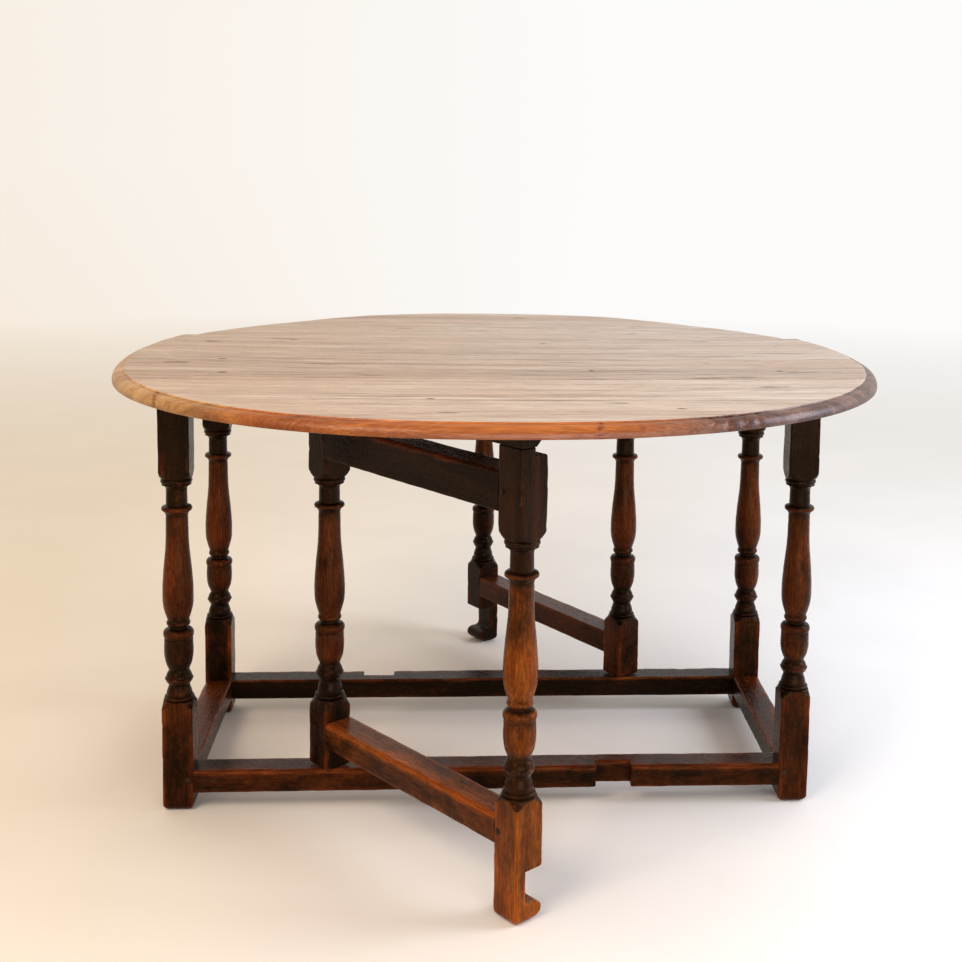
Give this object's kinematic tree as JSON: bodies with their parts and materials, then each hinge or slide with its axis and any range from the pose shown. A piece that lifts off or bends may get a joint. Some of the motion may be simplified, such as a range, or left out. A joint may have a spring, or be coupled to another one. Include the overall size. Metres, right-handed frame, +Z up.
{
  "type": "gateleg table",
  "caption": "Round-cornered oval top with two hinged leaves on a turned, stretchered frame; a swinging gate leg carries each open leaf.",
  "frame": {"origin": "on the floor, below the middle of the top's bounding box", "axes": "+Z up; +X along the hinge seams between the centre board and the leaves; -Y towards the front leaf, whose gate pivots near the -X end"},
  "size_m": [1.3145, 1.3048, 0.74],
  "materials": {
    "oak_top": "faded waxed oak, satin",
    "oak_frame": "dark stained oak, waxed and worn",
    "oak_front_gate": "warm brown oak, waxed and worn",
    "oak_peg": "dark oak, dull",
    "wrought_iron": "black hand-forged iron"
  },
  "bodies": {
    "frame": {"back_hinge_fixed_plates": "wrought_iron", "back_hinge_pins": "wrought_iron", "centre_plank_back": "oak_top", "centre_plank_front": "oak_top", "frame_hinge_nails": "wrought_iron", "frame_pegs_lower": "oak_peg", "frame_pegs_upper": "oak_peg", "front_hinge_fixed_plates": "wrought_iron", "front_hinge_pins": "wrought_iron", "post_back_left": "oak_frame", "post_back_right": "oak_frame", "post_front_left": "oak_frame", "post_front_right": "oak_frame", "stretcher_back": "oak_frame", "stretcher_front": "oak_frame", "stretcher_left": "oak_frame", "stretcher_right": "oak_frame", "top_pegs": "oak_peg", "top_rail_back": "oak_frame", "top_rail_front": "oak_frame", "top_rail_left": "oak_frame", "top_rail_right": "oak_frame"},
    "front_gate": {"front_gate_leg": "oak_front_gate", "front_gate_lower_rail": "oak_front_gate", "front_gate_pegs": "oak_peg", "front_gate_pivot_post": "oak_front_gate", "front_gate_upper_rail": "oak_front_gate"},
    "back_gate": {"back_gate_leg": "oak_frame", "back_gate_lower_rail": "oak_frame", "back_gate_pegs": "oak_peg", "back_gate_pivot_post": "oak_frame", "back_gate_upper_rail": "oak_frame"},
    "front_leaf": {"front_hinge_leaf_plates": "wrought_iron", "front_leaf_bearer": "oak_frame", "front_leaf_inner_plank": "oak_top", "front_leaf_nails": "wrought_iron", "front_leaf_outer_plank": "oak_top"},
    "back_leaf": {"back_hinge_leaf_plates": "wrought_iron", "back_leaf_bearer": "oak_frame", "back_leaf_inner_plank": "oak_top", "back_leaf_nails": "wrought_iron", "back_leaf_outer_plank": "oak_top"}
  },
  "joints": [
    {"name": "front_gate_swing", "type": "hinge", "parent": "frame", "child": "front_gate", "pos_m": [-0.282, -0.204, 0], "axis": [0, 0, 1], "range_deg": [0, 51]},
    {"name": "back_gate_swing", "type": "hinge", "parent": "frame", "child": "back_gate", "pos_m": [0.258, 0.204, 0], "axis": [0, 0, 1], "range_deg": [0, 56]},
    {"name": "front_leaf_lift", "type": "hinge", "parent": "frame", "child": "front_leaf", "pos_m": [0, -0.245, 0.7125], "axis": [-1, 0, 0], "range_deg": [0, 3]},
    {"name": "back_leaf_lift", "type": "hinge", "parent": "frame", "child": "back_leaf", "pos_m": [0, 0.245, 0.7125], "axis": [1, 0, 0], "range_deg": [0, 3]}
  ]
}
